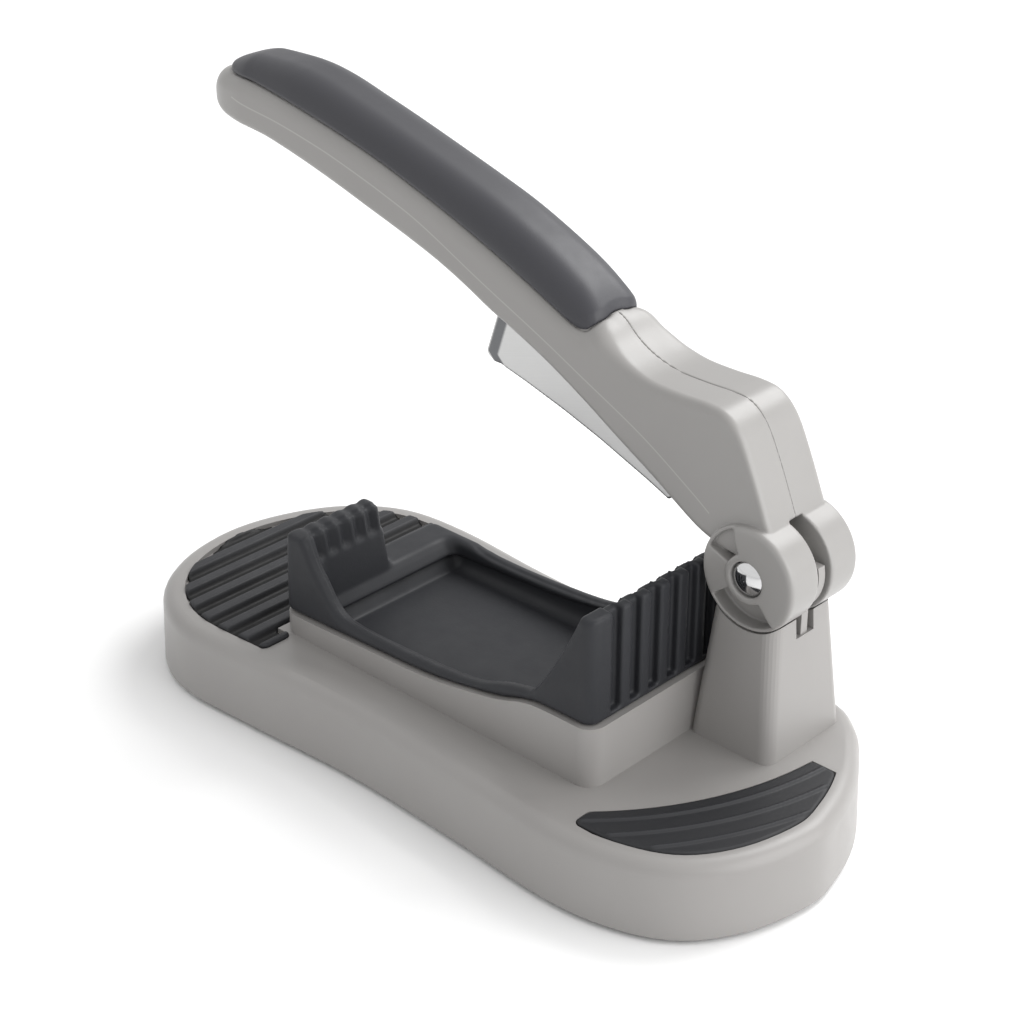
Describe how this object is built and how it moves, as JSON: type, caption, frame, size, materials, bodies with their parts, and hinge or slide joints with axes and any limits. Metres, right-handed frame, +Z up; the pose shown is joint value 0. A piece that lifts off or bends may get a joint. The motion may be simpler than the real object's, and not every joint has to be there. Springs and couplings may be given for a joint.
{
  "type": "oyster knife",
  "caption": "Bench oyster opener: ribbed soft tray on a rounded base, and a long hinged lever that brings a blade down over it.",
  "frame": {"origin": "bottom centre of the whole, on the table under the middle of base and lever", "axes": "+X from the handle's tip towards the hinge end, +Y to the far side where the lever stands, +Z up"},
  "size_m": [0.2996, 0.1216, 0.2036],
  "materials": {
    "shell_plastic": "satin",
    "cover_plastic": "matte",
    "tray_rubber": "matte",
    "grip_rubber": "matte",
    "foot_rubber": "matte",
    "blade_steel": "brushed",
    "pin_steel": "polished",
    "screw_steel": "zinc plated",
    "washer_plastic": "smooth"
  },
  "bodies": {
    "base": {"base_shell": "shell_plastic", "base_cover": "cover_plastic", "base_screw_1": "screw_steel", "base_screw_2": "screw_steel", "base_screw_3": "screw_steel", "base_screw_4": "screw_steel", "foot_1": "foot_rubber", "foot_2": "foot_rubber", "foot_3": "foot_rubber", "foot_4": "foot_rubber", "tray": "tray_rubber", "tip_end_pad": "tray_rubber", "hinge_end_pad": "tray_rubber"},
    "lever": {"handle_near_half": "shell_plastic", "handle_far_half": "shell_plastic", "handle_screw_1": "screw_steel", "handle_screw_2": "screw_steel", "handle_screw_3": "screw_steel", "soft_grip": "grip_rubber", "blade": "blade_steel", "blade_pin_1": "screw_steel", "blade_pin_2": "screw_steel", "hinge_pin": "pin_steel", "hinge_pin_cap": "pin_steel", "thrust_washer_near": "washer_plastic", "thrust_washer_far": "washer_plastic"}
  },
  "joints": [
    {"name": "lever_hinge", "type": "hinge", "parent": "base", "child": "lever", "pos_m": [0.10325, 0.03, 0.0886], "axis": [0, 1, 0], "range_deg": [-21, 35]}
  ]
}
